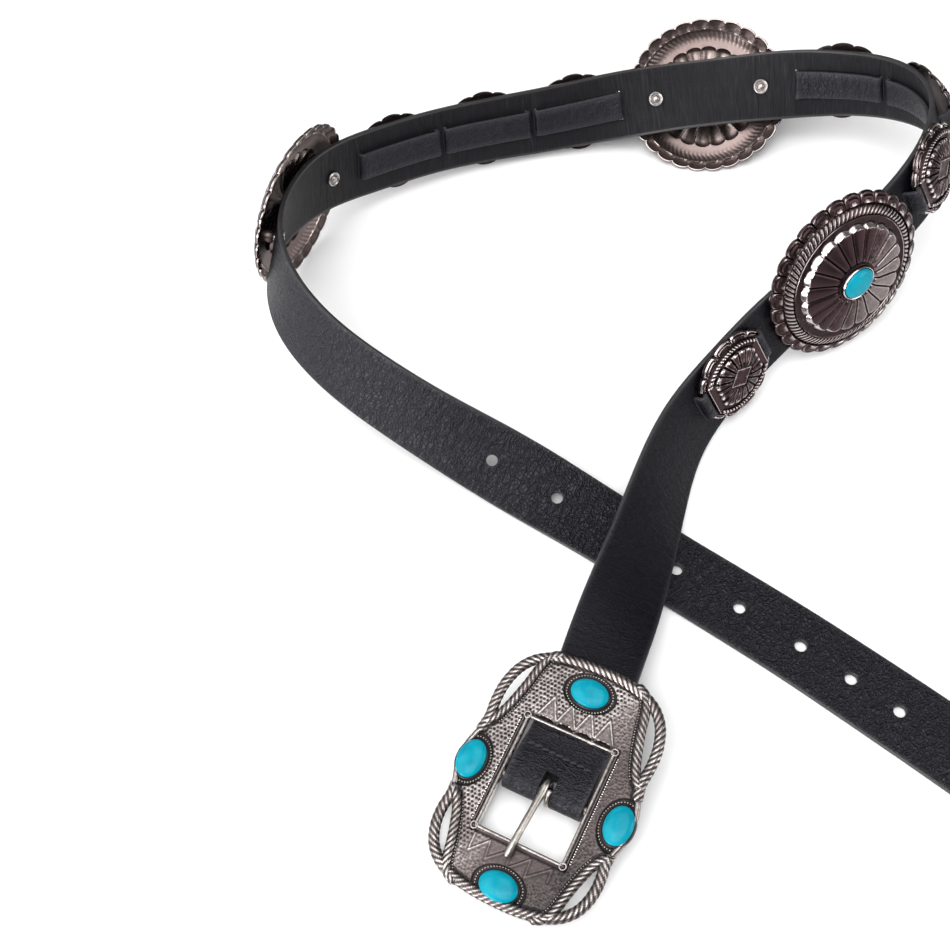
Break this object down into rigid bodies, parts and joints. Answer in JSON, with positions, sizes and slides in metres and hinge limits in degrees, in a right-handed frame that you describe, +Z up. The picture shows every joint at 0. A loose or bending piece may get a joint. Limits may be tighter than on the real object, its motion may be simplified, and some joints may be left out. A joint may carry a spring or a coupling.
{
  "type": "western concho belt",
  "caption": "Black leather western belt: rope-edged centre-bar buckle with blue cabochons, large domed conchos screwed on and small scalloped conchos laced on.",
  "frame": {"origin": "middle of the footprint, on the surface the belt lies on", "axes": "+Z up from that surface; +Y from the buckle and tail towards the far side of the waist loop; +X to the right of that, the side the tail points to"},
  "size_m": [0.2786, 0.3698, 0.0648],
  "materials": {
    "strap_leather": "satin grained",
    "lace_leather": "satin",
    "buckle_silver": "antique silver, dark in the recesses",
    "concho_silver": "antique silver, dark in the recesses",
    "prong_wire": "polished",
    "screw_metal": "polished",
    "turquoise": "glossy"
  },
  "bodies": {
    "belt": {"strap": "strap_leather", "buckle_frame": "buckle_silver", "buckle_stone_top": "turquoise", "buckle_stone_bottom": "turquoise", "buckle_stone_left": "turquoise", "buckle_stone_right": "turquoise", "concho_large_1": "concho_silver", "concho_large_1_stone": "turquoise", "concho_large_1_screw_a": "screw_metal", "concho_large_1_screw_b": "screw_metal", "concho_large_2": "concho_silver", "concho_large_2_stone": "turquoise", "concho_large_2_screw_a": "screw_metal", "concho_large_2_screw_b": "screw_metal", "concho_large_3": "concho_silver", "concho_large_3_stone": "turquoise", "concho_large_3_screw_a": "screw_metal", "concho_large_3_screw_b": "screw_metal", "concho_small_1": "concho_silver", "lace_1": "lace_leather", "concho_small_2": "concho_silver", "lace_2": "lace_leather", "concho_small_3": "concho_silver", "lace_3": "lace_leather", "concho_small_4": "concho_silver", "lace_4": "lace_leather", "concho_small_5": "concho_silver", "lace_5": "lace_leather", "concho_small_6": "concho_silver", "lace_6": "lace_leather", "concho_small_7": "concho_silver", "lace_7": "lace_leather"},
    "prong": {"buckle_prong": "prong_wire"}
  },
  "joints": [
    {"name": "prong_hinge", "type": "hinge", "parent": "belt", "child": "prong", "pos_m": [-0.03982, -0.14297, 0.00749], "axis": [-0.8668, 0.4911, -0.0869], "range_deg": [0, 100]}
  ]
}
